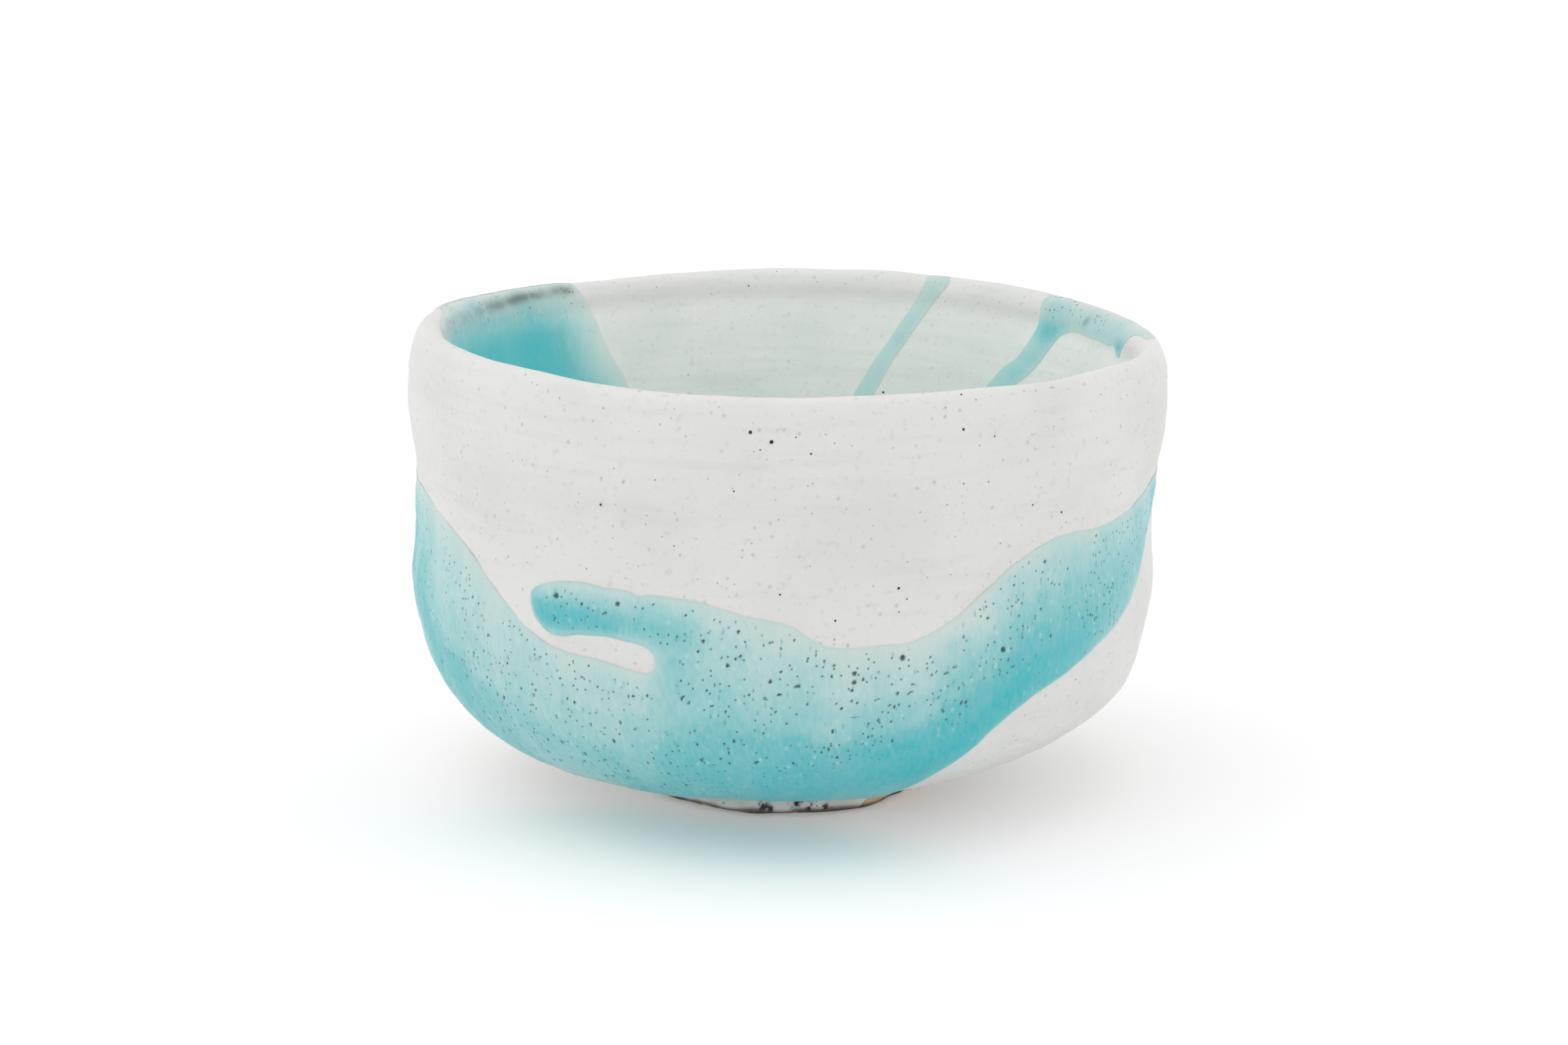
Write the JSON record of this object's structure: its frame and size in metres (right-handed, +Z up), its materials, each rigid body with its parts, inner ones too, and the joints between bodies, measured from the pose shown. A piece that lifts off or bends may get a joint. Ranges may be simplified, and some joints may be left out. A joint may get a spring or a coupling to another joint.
{
  "type": "tea bowl",
  "caption": "Hand-thrown stoneware tea bowl on a knife-cut foot ring, white glazed, with a turquoise belt poured round the belly and runs over the lip.",
  "frame": {"origin": "centre of the bowl's outline in plan, on the table that the foot ring stands on", "axes": "+Z up out of the bowl; -Y is the front, where the tongue of turquoise glaze is left of the middle; +X is the bowl's right"},
  "size_m": [0.1199, 0.1198, 0.0749],
  "materials": {
    "bare_clay": "matte",
    "white_glaze": "satin",
    "inner_white_glaze": "satin",
    "thin_white_glaze": "satin",
    "turquoise_glaze": "satin"
  },
  "bodies": {
    "root": {"clay_body": "bare_clay", "foot_ring": "bare_clay", "white_outside": "white_glaze", "white_inside": "inner_white_glaze", "foot_glaze": "thin_white_glaze", "turquoise_band": "turquoise_glaze", "turquoise_sheet_back": "turquoise_glaze", "turquoise_sheet_inside": "turquoise_glaze", "turquoise_run_thin": "turquoise_glaze", "turquoise_run_forked": "turquoise_glaze", "turquoise_pool": "turquoise_glaze"}
  },
  "joints": []
}
